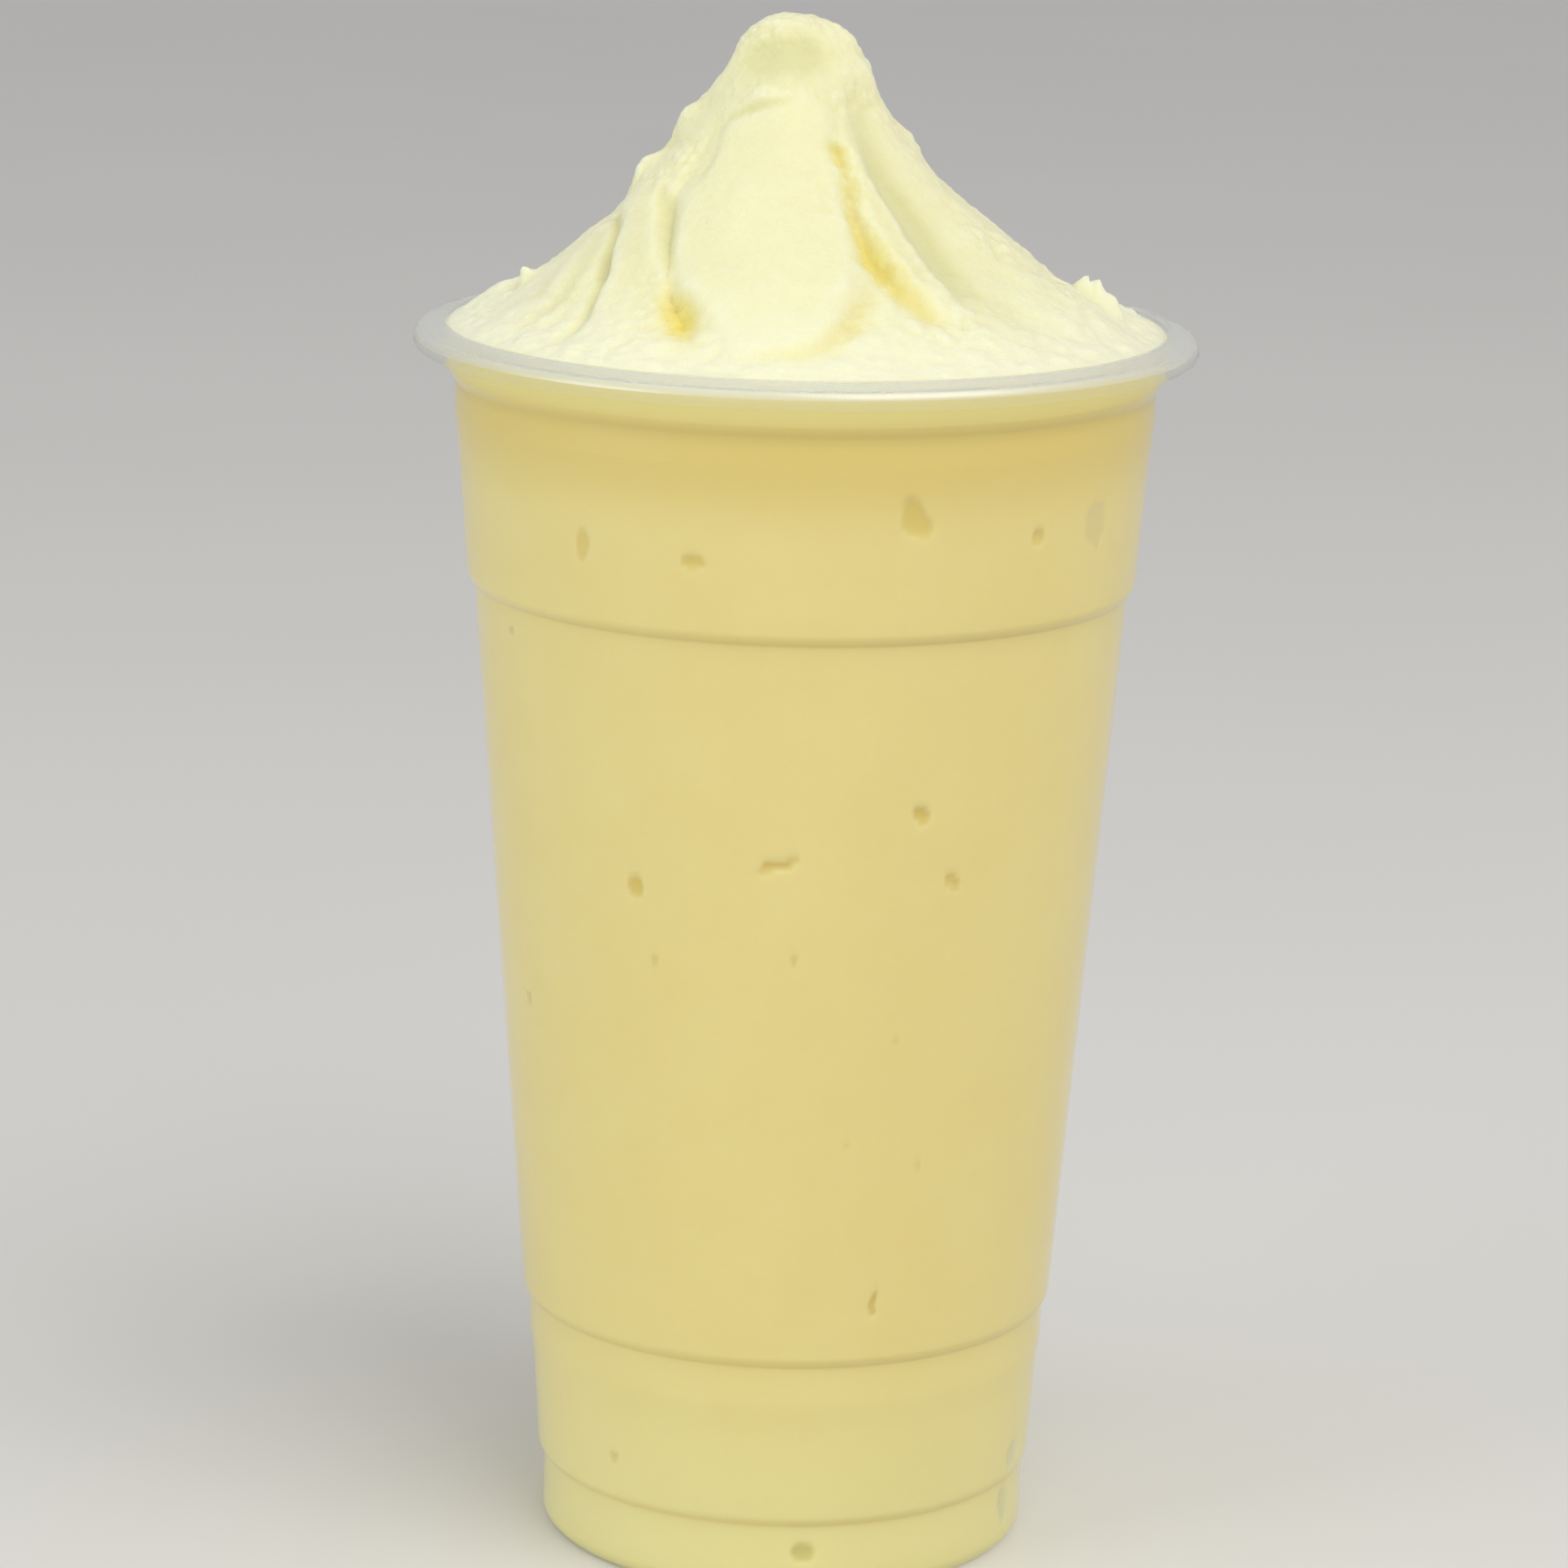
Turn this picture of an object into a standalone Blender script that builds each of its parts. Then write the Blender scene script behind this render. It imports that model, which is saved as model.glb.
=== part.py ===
"""A banana smoothie heaped above the rim of its clear plastic cup.

The cup is one thin sheet of clear plastic, formed into a foot with a raised base, a tapered wall
with three moulded steps, a neck with a stacking shoulder, and a lip rolled outwards. The smoothie
is one solid: it fills the cup down into the foot and stands above the lip as a folded peak.

Design sizes are in millimetres and the meshes are made in metres. +Z is up, -Y is the front, and
the origin is on the table at the middle of the foot.
"""

import math

import bmesh
import bpy
from mathutils import Vector, geometry, noise

MM = 0.001

# Driving dimensions of the cup
LIP_RADIUS = 49.0
CUP_HEIGHT = 157.2
SHEET = 0.6
LIP_TALL = 3.13
LIP_WIDE = 3.9
LIP_TURN_IN = 1.5
LIP_ROUNDING = 0.45
FOOT_RADIUS = 31.3
FOOT_ROUNDING = 2.0
BASE_RAISED = 3.2
CUP_SIDES = 56
ARC_STEPS = 2

# Driving dimensions of the smoothie
CLEARANCE = 0.3
HEAP_TOP = 196.0
SHOULDER_RADIUS = 10.5
SHOULDER_HEIGHT = 186.5
LEAN = -2.0
LEAN_RISE = 20.0
SMOOTHIE_SIDES = 72
FLANK_RINGS = 26
KNOB_RINGS = 8
RIM_FADE = 3.0
UNEVEN = 0.45
UNEVEN_SIZE = 9.0

# Outer face of the sheet, from the middle of the base to the lip: radius, height, rounding
SHEET_CORNERS = (
    (0.0, BASE_RAISED, 0.0),
    (25.4, BASE_RAISED, 0.0),
    (27.2, 0.0, 0.0),
    (FOOT_RADIUS, 0.0, FOOT_ROUNDING),
    (31.1, 8.7, 0.0),
    (31.9, 11.4, 0.0),
    (32.7, 22.3, 0.0),
    (33.2, 26.0, 0.0),
    (33.25, 30.3, 0.0),
    (34.05, 33.2, 0.0),
    (41.15, 123.7, 0.0),
    (42.1, 126.1, 0.0),
    (43.3, 141.0, 0.0),
    (43.85, 146.2, 0.0),
    (43.85, 149.4, 0.0),
    (44.6, 150.5, 0.0),
)
LIP_INSIDE = LIP_RADIUS - LIP_WIDE + SHEET
RIM_CORNER = (LIP_INSIDE, CUP_HEIGHT - SHEET, 0.0)
LIP_CORNERS = (
    (LIP_INSIDE, CUP_HEIGHT - SHEET, LIP_ROUNDING),
    (LIP_RADIUS - SHEET, CUP_HEIGHT - SHEET, LIP_ROUNDING),
    (LIP_RADIUS - SHEET, CUP_HEIGHT - LIP_TALL + SHEET, LIP_ROUNDING),
    (LIP_RADIUS - SHEET - LIP_TURN_IN, CUP_HEIGHT - LIP_TALL + SHEET, 0.0),
)

# Folds that stand proud of the heap. Each runs along a path of x, y, z, half width and height.
FOLDS = {
    "front tongue": (
        (-3.6, -9.0, 185.5, 7.4, 0.7),
        (-4.6, -13.6, 178.0, 9.2, 1.9),
        (-5.4, -19.4, 170.5, 11.4, 2.8),
        (-5.2, -27.0, 164.6, 11.2, 3.4),
        (-4.8, -32.8, 161.6, 8.8, 3.1),
    ),
    "left fold": (
        (-12.0, -6.0, 184.0, 3.6, 0.5),
        (-16.2, -6.8, 178.0, 4.6, 1.7),
        (-19.4, -11.8, 171.6, 5.0, 2.0),
        (-20.8, -17.6, 166.8, 5.4, 1.9),
        (-22.4, -24.4, 162.2, 6.6, 1.3),
        (-23.8, -29.0, 159.6, 7.4, 0.3),
    ),
    "far left fold": (
        (-25.4, -4.0, 169.0, 4.6, 0.6),
        (-30.2, -9.5, 164.0, 5.2, 1.2),
        (-35.2, -15.5, 159.8, 5.4, 0.5),
    ),
    "right ridge": (
        (5.2, -7.6, 186.0, 2.6, 0.3),
        (6.8, -12.6, 178.9, 3.0, 1.2),
        (9.2, -17.4, 172.4, 3.4, 1.5),
        (12.2, -22.0, 167.4, 3.6, 1.3),
        (16.8, -27.4, 162.6, 4.0, 0.2),
    ),
    "right flank": (
        (12.4, -2.0, 181.0, 4.4, 0.3),
        (19.5, -7.0, 171.0, 6.4, 1.1),
        (28.0, -13.0, 163.4, 8.0, 0.4),
    ),
    "back fold": (
        (3.0, 9.0, 185.0, 6.0, 0.5),
        (7.2, 16.5, 173.5, 8.4, 2.2),
        (6.5, 26.0, 165.0, 9.6, 2.6),
        (2.0, 33.5, 160.4, 8.4, 1.6),
    ),
    "back left fold": (
        (-11.5, 5.5, 182.5, 4.8, 0.5),
        (-18.4, 9.5, 172.5, 6.4, 1.8),
        (-24.0, 17.0, 165.0, 7.2, 1.8),
        (-27.0, 25.5, 160.0, 6.6, 0.5),
    ),
    "back right fold": (
        (10.4, 5.0, 182.0, 4.4, 0.4),
        (19.0, 10.5, 171.0, 6.0, 1.5),
        (27.0, 18.5, 162.8, 6.8, 0.5),
    ),
}

# Grooves between the folds. Each runs along a path of x, y, z, half width and depth.
GROOVES = {
    "right groove": (
        (3.6, -12.2, 180.8, 1.5, 0.6),
        (4.9, -15.4, 176.0, 1.8, 1.0),
        (6.6, -19.4, 171.0, 2.4, 1.7),
        (8.4, -22.4, 168.2, 2.8, 2.4),
        (10.4, -25.8, 165.2, 2.6, 1.9),
        (12.4, -28.8, 162.9, 2.2, 1.1),
        (15.2, -31.0, 161.3, 1.8, 0.2),
    ),
    "left groove": (
        (-16.0, -11.0, 174.5, 1.6, 0.4),
        (-16.6, -15.6, 170.5, 1.8, 1.0),
        (-16.8, -20.4, 167.0, 2.0, 1.2),
        (-16.5, -25.4, 164.0, 2.4, 1.6),
        (-15.9, -29.8, 161.8, 3.0, 2.6),
    ),
    "left crease": (
        (-22.6, -5.0, 171.0, 1.6, 0.5),
        (-23.6, -11.6, 167.4, 1.8, 0.9),
        (-25.2, -16.6, 164.2, 1.9, 1.0),
        (-28.4, -21.2, 161.0, 1.9, 0.8),
        (-33.2, -24.4, 158.4, 1.8, 0.3),
    ),
    "right valley": (
        (8.4, -5.2, 184.9, 2.6, 0.4),
        (10.0, -9.8, 178.6, 3.2, 0.7),
        (13.6, -13.6, 171.6, 4.0, 0.9),
        (18.0, -19.2, 165.6, 4.8, 0.8),
        (23.0, -25.4, 161.2, 5.2, 0.4),
    ),
    "tongue end": (
        (5.6, -34.0, 161.4, 1.4, 0.5),
        (2.4, -38.2, 159.6, 1.5, 0.8),
        (-3.0, -40.4, 158.6, 1.4, 0.6),
    ),
    "back groove": (
        (-3.0, 10.0, 185.0, 2.0, 0.6),
        (-6.5, 18.5, 174.0, 2.8, 1.4),
        (-12.0, 27.0, 165.4, 3.2, 1.5),
        (-14.5, 33.0, 160.8, 3.0, 0.7),
    ),
}

# Single bumps, and with a minus sign hollows: x, y, z, radius and height
BUMPS = (
    (-14.6, -3.0, 183.0, 3.0, 1.6),
    (-19.8, -3.5, 176.6, 3.2, 2.0),
    (-35.4, -4.0, 161.4, 2.4, 2.3),
    (34.6, -3.0, 160.4, 2.2, 2.2),
    (37.2, -3.6, 159.2, 2.6, 3.4),
    (-9.4, -4.0, 190.0, 3.0, 0.8),
    (4.4, -3.0, 193.0, 2.6, 0.6),
    (6.4, -4.0, 188.8, 3.0, 0.8),
    (-3.6, -7.6, 190.4, 4.6, -1.1),
    (2.0, 6.5, 191.0, 4.0, -0.9),
)


def rounded_outline(corners):
    """The corners as 2D points, each corner with a rounding replaced by an arc of that radius."""
    points = []
    for index, (radius, height, rounding) in enumerate(corners):
        corner = Vector((radius, height))
        if rounding == 0.0:
            points.append(corner)
            continue
        before = (Vector(corners[index - 1][:2]) - corner).normalized()
        after = (Vector(corners[index + 1][:2]) - corner).normalized()
        half_angle = before.angle(after) / 2
        centre = corner + (before + after).normalized() * (rounding / math.sin(half_angle))
        start = corner + before * (rounding / math.tan(half_angle)) - centre
        end = corner + after * (rounding / math.tan(half_angle)) - centre
        for step in range(ARC_STEPS + 1):
            spoke = start.lerp(end, step / ARC_STEPS).normalized() * rounding
            points.append(centre + spoke)
    return points


def offset_outline(points, distance):
    """The outline moved to its left by the distance, with mitred corners. Ends stay square."""
    moved = []
    for index, point in enumerate(points):
        normals = []
        for first, second in ((index - 1, index), (index, index + 1)):
            if first < 0 or second >= len(points):
                continue
            along = (points[second] - points[first]).normalized()
            normals.append(Vector((-along.y, along.x)))
        mitre = sum(normals, Vector((0.0, 0.0))).normalized()
        moved.append(point + mitre * (distance / mitre.dot(normals[0])))
    return moved


def turned(outline, sides):
    """A bmesh of the outline (radius and height in mm, from axis to axis) spun once round Z."""
    mesh = bmesh.new()
    verts = [mesh.verts.new((point.x * MM, 0.0, point.y * MM)) for point in outline]
    edges = [mesh.edges.new(pair) for pair in zip(verts, verts[1:])]
    bmesh.ops.spin(
        mesh,
        geom=verts + edges,
        cent=(0.0, 0.0, 0.0),
        axis=(0.0, 0.0, 1.0),
        angle=math.tau,
        steps=sides,
        use_merge=True,
    )
    bmesh.ops.remove_doubles(mesh, verts=mesh.verts, dist=0.01 * MM)
    bmesh.ops.recalc_face_normals(mesh, faces=mesh.faces)
    return mesh


def finished(name, mesh, material):
    """The bmesh as a named object, shaded smooth with its sharp corners kept."""
    data = bpy.data.meshes.new(name)
    mesh.to_mesh(data)
    mesh.free()
    data.materials.append(material)
    data.shade_smooth()
    data.set_sharp_from_angle(angle=math.radians(40))
    piece = bpy.data.objects.new(name, data)
    bpy.context.collection.objects.link(piece)
    return piece


def plastic_material():
    """Clear drinking-cup plastic."""
    material = bpy.data.materials.new("clear plastic")
    material.use_nodes = True
    shader = material.node_tree.nodes["Principled BSDF"]
    shader.inputs["Base Color"].default_value = (0.96, 0.97, 0.96, 1.0)
    shader.inputs["Roughness"].default_value = 0.06
    shader.inputs["Metallic"].default_value = 0.0
    shader.inputs["IOR"].default_value = 1.57
    shader.inputs["Transmission Weight"].default_value = 1.0
    return material


def smoothie_material():
    """Pale yellow blended banana and ice."""
    material = bpy.data.materials.new("banana smoothie")
    material.use_nodes = True
    shader = material.node_tree.nodes["Principled BSDF"]
    shader.inputs["Base Color"].default_value = (0.9, 0.78, 0.36, 1.0)
    shader.inputs["Roughness"].default_value = 0.55
    shader.inputs["Metallic"].default_value = 0.0
    return material


def smooth_step(value):
    value = min(max(value, 0.0), 1.0)
    return value * value * (3.0 - 2.0 * value)


def nearest_on_path(point, path):
    """Distance from the point to the path, with the path's width and height where it is nearest."""
    best = (math.inf, 0.0, 0.0)
    for first, second in zip(path, path[1:]):
        start = Vector(first[:3])
        along = Vector(second[:3]) - start
        share = (point - start).dot(along) / along.length_squared
        share = min(max(share, 0.0), 1.0)
        distance = (point - start - along * share).length
        if distance < best[0]:
            width = first[3] + (second[3] - first[3]) * share
            height = first[4] + (second[4] - first[4]) * share
            best = (distance, width, height)
    return best


def fold_height(point, path):
    """A fold is nearly flat across its top and drops off steeply at its edges."""
    distance, half_width, height = nearest_on_path(point, path)
    reach = distance / half_width
    return height * (1.0 - 0.3 * min(reach, 1.0) ** 2) * smooth_step((1.2 - reach) / 0.5)


def groove_depth(point, path):
    """A groove is round at the bottom and open at its edges."""
    distance, half_width, depth = nearest_on_path(point, path)
    return depth * math.exp(-((distance / half_width) ** 2) * 1.4)


def bump_height(point, bump):
    """A bump or hollow is a soft round mound."""
    distance = (point - Vector(bump[:3])).length
    return bump[4] * math.exp(-((distance / bump[3]) ** 2) * 1.4)


def relief(point):
    """How far the heap's skin stands out from its turned form at a point, in mm."""
    height = max(fold_height(point, path) for path in FOLDS.values())
    height -= max(groove_depth(point, path) for path in GROOVES.values())
    height += sum(bump_height(point, bump) for bump in BUMPS)
    height += UNEVEN * noise.noise(point / UNEVEN_SIZE)
    return height


def make_cup():
    """The sheet's outer face and the same outline one sheet further in, closed and turned."""
    outer = rounded_outline(SHEET_CORNERS + LIP_CORNERS)
    inner = offset_outline(outer, SHEET)
    outline = outer + inner[::-1]
    return finished("cup", turned(outline, CUP_SIDES), plastic_material())


def heap_outline(rim):
    """From the rim up a hollow flank to the shoulder, then over a round knob to the top."""
    shoulder = Vector((SHOULDER_RADIUS, SHOULDER_HEIGHT, 0.0))
    top = Vector((0.0, HEAP_TOP, 0.0))
    flank = geometry.interpolate_bezier(
        Vector((rim.x, rim.y, 0.0)),
        Vector((32.5, 160.2, 0.0)),
        Vector((15.0, 173.5, 0.0)),
        shoulder,
        FLANK_RINGS + 1,
    )
    knob = geometry.interpolate_bezier(
        shoulder,
        Vector((7.8, 192.2, 0.0)),
        Vector((5.6, HEAP_TOP, 0.0)),
        top,
        KNOB_RINGS + 1,
    )
    return [point.to_2d() for point in flank[1:] + knob[1:]]


def make_smoothie():
    """The drink follows the sheet's inner face up to the lip, and the heap closes it above."""
    sheet = rounded_outline(SHEET_CORNERS + (RIM_CORNER,))
    drink = offset_outline(sheet, SHEET + CLEARANCE)
    rim = drink[-1]
    mesh = turned(drink + heap_outline(rim), SMOOTHIE_SIDES)
    mesh.normal_update()
    heap = [v for v in mesh.verts if v.co.z > (rim.y + 0.01) * MM]
    moves = []
    for vert in heap:
        point = vert.co / MM
        lean = LEAN * smooth_step((point.z - rim.y) / LEAN_RISE)
        point.x += lean
        fade = smooth_step((rim.x - math.hypot(vert.co.x, vert.co.y) / MM) / RIM_FADE)
        moves.append((vert, point + vert.normal * relief(point) * fade))
    for vert, point in moves:
        vert.co = point * MM
    return finished("smoothie", mesh, smoothie_material())


def main():
    for piece in list(bpy.data.objects):
        bpy.data.objects.remove(piece, do_unlink=True)
    make_cup()
    make_smoothie()


main()
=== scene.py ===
"""Looks of a banana smoothie heaped above the rim of its clear plastic cup.

Design sizes are in millimetres and the meshes are made in metres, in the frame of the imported
solids: +Z is up, -Y is the front, and the origin is on the table at the middle of the foot.
"""

import math

import bmesh
import bpy
import numpy as np
from mathutils import Matrix, Vector, geometry, noise


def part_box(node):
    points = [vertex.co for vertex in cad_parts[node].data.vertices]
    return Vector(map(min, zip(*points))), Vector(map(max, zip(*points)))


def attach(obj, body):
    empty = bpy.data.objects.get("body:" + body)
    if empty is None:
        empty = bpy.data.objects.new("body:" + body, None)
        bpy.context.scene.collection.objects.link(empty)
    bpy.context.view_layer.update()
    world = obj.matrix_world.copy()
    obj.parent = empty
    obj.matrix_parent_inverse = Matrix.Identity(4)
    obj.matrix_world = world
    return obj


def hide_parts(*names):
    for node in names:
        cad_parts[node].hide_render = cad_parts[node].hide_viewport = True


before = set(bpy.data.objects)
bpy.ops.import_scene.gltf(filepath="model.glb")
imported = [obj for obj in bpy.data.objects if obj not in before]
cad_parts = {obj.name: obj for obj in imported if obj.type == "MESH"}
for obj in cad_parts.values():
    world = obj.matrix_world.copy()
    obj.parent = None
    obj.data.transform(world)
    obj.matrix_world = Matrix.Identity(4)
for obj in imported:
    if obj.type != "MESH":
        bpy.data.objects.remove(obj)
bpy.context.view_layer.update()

# The cup
# One thin sheet of clear plastic, heated and drawn into a mould. It has a raised base inside a
# round foot, a tapered wall with small steps that stiffen it, and a lip rolled outwards and down.
MM = 0.001
SHEET = 0.6
TURNED_SIDES = 224
ARC_STEPS = 6
CUP_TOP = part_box("cup")[1] / MM
LIP_RADIUS = CUP_TOP.x
CUP_HEIGHT = CUP_TOP.z
LIP_WIDE = 4.3
LIP_TALL = 3.13
LIP_WAIST = 0.2
LIP_SLOPE = 0.8
LIP_EDGE = 0.3
LIP_CROWN = 0.12
BEAD_SHARE = 0.65
SHARP_FROM = 40.0
MERGE_WITHIN = 0.01
BASE_RAISED = 3.2
FOOT_RADIUS = 31.3
PLASTIC_COLOUR = (0.97, 0.975, 0.965, 1.0)
PASSED_LIGHT = (0.95, 0.955, 0.945, 1.0)
PLASTIC_ROUGHNESS = 0.06
HAZE_ROUGHNESS = 0.16
HAZE_CLOUD = 0.16
RIPPLE_STRENGTH = 0.25
PLASTIC_IOR = 1.5
SKIRT_IOR = 1.04
SKIRT_HAZE = 0.3

# Outer face of the sheet, from the middle of the base up to the lip: radius, height, rounding
SHEET_CORNERS = (
    (0.0, BASE_RAISED, 0.0),
    (25.4, BASE_RAISED, 0.8),
    (27.2, 0.0, 0.9),
    (FOOT_RADIUS, 0.0, 2.0),
    (31.15, 9.3, 0.25),
    (31.95, 10.3, 1.8),
    (32.7, 22.3, 4.0),
    (33.2, 26.0, 4.0),
    (33.3, 31.0, 0.25),
    (34.1, 32.0, 1.8),
    (41.2, 124.3, 0.3),
    (42.12, 125.3, 1.8),
    (43.3, 141.0, 4.0),
    (43.85, 146.2, 2.0),
    (43.85, 149.9, 0.5),
    (44.6, 151.2, 1.2),
)
LIP_INSIDE = LIP_RADIUS - LIP_WIDE + SHEET
RIM_CORNER = (LIP_INSIDE, CUP_HEIGHT - SHEET, 0.0)
LIP_CORNERS = (
    (LIP_INSIDE, CUP_HEIGHT - SHEET + LIP_CROWN, 0.4),
    (LIP_RADIUS - SHEET - LIP_WAIST, CUP_HEIGHT - SHEET - LIP_SLOPE, 0.9),
    (LIP_RADIUS - SHEET, CUP_HEIGHT - LIP_TALL + LIP_EDGE, 0.0),
    (LIP_RADIUS - SHEET / 2, CUP_HEIGHT - LIP_TALL, 0.0),
)


def rounded_outline(corners, steps):
    """The corners as 2D points, each corner with a rounding replaced by an arc of that many steps."""
    points = []
    for index, (radius, height, rounding) in enumerate(corners):
        corner = Vector((radius, height))
        if rounding == 0.0:
            points.append(corner)
            continue
        before = (Vector(corners[index - 1][:2]) - corner).normalized()
        after = (Vector(corners[index + 1][:2]) - corner).normalized()
        half_angle = before.angle(after) / 2
        centre = corner + (before + after).normalized() * (rounding / math.sin(half_angle))
        start = corner + before * (rounding / math.tan(half_angle)) - centre
        end = corner + after * (rounding / math.tan(half_angle)) - centre
        for step in range(steps + 1):
            spoke = start.lerp(end, step / steps).normalized() * rounding
            points.append(centre + spoke)
    return points


def offset_outline(points, distance):
    """The outline moved to its left by the distance, with mitred corners. Ends stay square."""
    moved = []
    for index, point in enumerate(points):
        normals = []
        for first, second in ((index - 1, index), (index, index + 1)):
            if first < 0 or second >= len(points):
                continue
            along = (points[second] - points[first]).normalized()
            normals.append(Vector((-along.y, along.x)))
        mitre = sum(normals, Vector((0.0, 0.0))).normalized()
        moved.append(point + mitre * (distance / mitre.dot(normals[0])))
    return moved


def divided_outline(points, longest):
    """The outline with its longer straight runs divided into equal steps."""
    divided = [points[0]]
    for start, end in zip(points, points[1:]):
        steps = math.ceil((end - start).length / longest)
        divided += [start.lerp(end, (step + 1) / steps) for step in range(steps)]
    return divided


def in_fixed_order(mesh):
    """A copy of the bmesh with its faces in the order of their vertices.

    A spin leaves edges and faces in an order that changes from run to run.
    """
    mesh.verts.index_update()
    outlines = []
    for face in mesh.faces:
        corners = [vert.index for vert in face.verts]
        first = corners.index(min(corners))
        outlines.append(corners[first:] + corners[:first])
    ordered = bmesh.new()
    verts = [ordered.verts.new(vert.co) for vert in mesh.verts]
    for corners in sorted(outlines):
        ordered.faces.new([verts[corner] for corner in corners])
    mesh.free()
    return ordered


def turned(outline):
    """A bmesh of the outline (radius and height in mm, from axis to axis) spun once round Z."""
    mesh = bmesh.new()
    verts = [mesh.verts.new((point.x * MM, 0.0, point.y * MM)) for point in outline]
    edges = [mesh.edges.new(pair) for pair in zip(verts, verts[1:])]
    bmesh.ops.spin(
        mesh,
        geom=verts + edges,
        cent=(0.0, 0.0, 0.0),
        axis=(0.0, 0.0, 1.0),
        angle=math.tau,
        steps=TURNED_SIDES,
        use_merge=True,
    )
    bmesh.ops.remove_doubles(mesh, verts=mesh.verts, dist=MERGE_WITHIN * MM)
    bmesh.ops.recalc_face_normals(mesh, faces=mesh.faces)
    return in_fixed_order(mesh)


def finished(name, mesh, material):
    """The bmesh as a named object with this material, shaded smooth."""
    data = bpy.data.meshes.new(name)
    mesh.to_mesh(data)
    mesh.free()
    data.materials.append(material)
    data.shade_smooth()
    piece = bpy.data.objects.new(name, data)
    bpy.context.collection.objects.link(piece)
    return piece


def shader_node(tree, kind, inputs=(), **settings):
    """Adds a node. Each input is given as a value, or as the output socket that feeds it."""
    node = tree.nodes.new(kind)
    for name, value in settings.items():
        setattr(node, name, value)
    for name, value in dict(inputs).items():
        if isinstance(value, bpy.types.NodeSocket):
            tree.links.new(value, node.inputs[name])
        else:
            node.inputs[name].default_value = value
    return node


def drawn_ripple():
    """A node group: the faint upright ripple that drawing leaves in the sheet, as a normal."""
    group = bpy.data.node_groups.new("drawn ripple", "ShaderNodeTree")
    group.interface.new_socket("Strength", in_out="INPUT", socket_type="NodeSocketFloat")
    group.interface.new_socket("Normal", in_out="OUTPUT", socket_type="NodeSocketVector")
    given = shader_node(group, "NodeGroupInput")
    place = shader_node(group, "ShaderNodeTexCoord").outputs["Object"]
    streaks = shader_node(group, "ShaderNodeMapping", {"Vector": place, "Scale": (1.0, 1.0, 0.08)})
    ripple = shader_node(
        group, "ShaderNodeTexNoise", {"Vector": streaks.outputs["Vector"], "Scale": 140.0, "Detail": 2.0}
    )
    bump = shader_node(
        group,
        "ShaderNodeBump",
        {
            "Height": ripple.outputs["Fac"],
            "Strength": given.outputs["Strength"],
            "Distance": 0.06 * MM,
        },
    )
    shader_node(group, "NodeGroupOutput", {"Normal": bump.outputs["Normal"]})
    return group


def cup_plastic(name, haze, ior):
    """Clear plastic that shadow and diffuse rays pass, so that the lamps light what is behind it.

    Haze goes from 0 to 1: the bead along the top of the lip is hazy. The skirt below the bead is
    drawn so thin that it hardly bends the light.
    """
    material = bpy.data.materials.new(name)
    material.use_nodes = True
    tree = material.node_tree
    rippled = shader_node(tree, "ShaderNodeGroup", node_tree=ripple_group)
    rippled.inputs["Strength"].default_value = RIPPLE_STRENGTH * (1.0 - haze)
    plastic = tree.nodes["Principled BSDF"]
    plastic.inputs["Base Color"].default_value = PLASTIC_COLOUR
    plastic.inputs["Roughness"].default_value = PLASTIC_ROUGHNESS + HAZE_ROUGHNESS * haze
    plastic.inputs["IOR"].default_value = ior
    plastic.inputs["Metallic"].default_value = 0.0
    plastic.inputs["Transmission Weight"].default_value = 1.0 - HAZE_CLOUD * haze
    tree.links.new(rippled.outputs["Normal"], plastic.inputs["Normal"])
    clear = shader_node(tree, "ShaderNodeBsdfTransparent", {"Color": PASSED_LIGHT})
    rays = shader_node(tree, "ShaderNodeLightPath")
    passing = shader_node(
        tree,
        "ShaderNodeMath",
        {0: rays.outputs["Is Shadow Ray"], 1: rays.outputs["Is Diffuse Ray"]},
        operation="MAXIMUM",
    )
    mixed = shader_node(
        tree,
        "ShaderNodeMixShader",
        {0: passing.outputs["Value"], 1: plastic.outputs["BSDF"], 2: clear.outputs["BSDF"]},
    )
    tree.links.new(mixed.outputs["Shader"], tree.nodes["Material Output"].inputs["Surface"])
    return material


sheet_outside = rounded_outline(SHEET_CORNERS + LIP_CORNERS, ARC_STEPS)
sheet_inside = offset_outline(sheet_outside, SHEET)
ripple_group = drawn_ripple()
cup_skin = turned(sheet_outside + sheet_inside[-2::-1])
cup = finished("cup_sheet", cup_skin, cup_plastic("clear plastic", haze=0.0, ior=PLASTIC_IOR))
cup.data.set_sharp_from_angle(angle=math.radians(SHARP_FROM))
cup.data.materials.append(cup_plastic("hazy plastic", haze=1.0, ior=PLASTIC_IOR))
cup.data.materials.append(cup_plastic("thin plastic", haze=SKIRT_HAZE, ior=SKIRT_IOR))
bead_bottom = CUP_HEIGHT - BEAD_SHARE * LIP_TALL
bead_inside = LIP_INSIDE - SHEET / 2
skirt_inside = LIP_RADIUS - 2 * SHEET
for face in cup.data.polygons:
    middle = face.center / MM
    radius = middle.to_2d().length
    if middle.z > bead_bottom and radius > bead_inside:
        face.material_index = 1
    elif radius > skirt_inside:
        face.material_index = 2
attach(cup, "root")
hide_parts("cup")

# The smoothie
# Banana and ice blended to a thick, frosty cream. It was poured until it filled the cup and then
# heaped above the lip, where it slumped into folds that meet in one blunt peak. A few air pockets
# stayed between the drink and the wall.
INTO_WALL = 0.1
DRINK_STEP = 3.0
DRINK_ARC_STEPS = 3
JUST_OVER = 0.01

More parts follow.
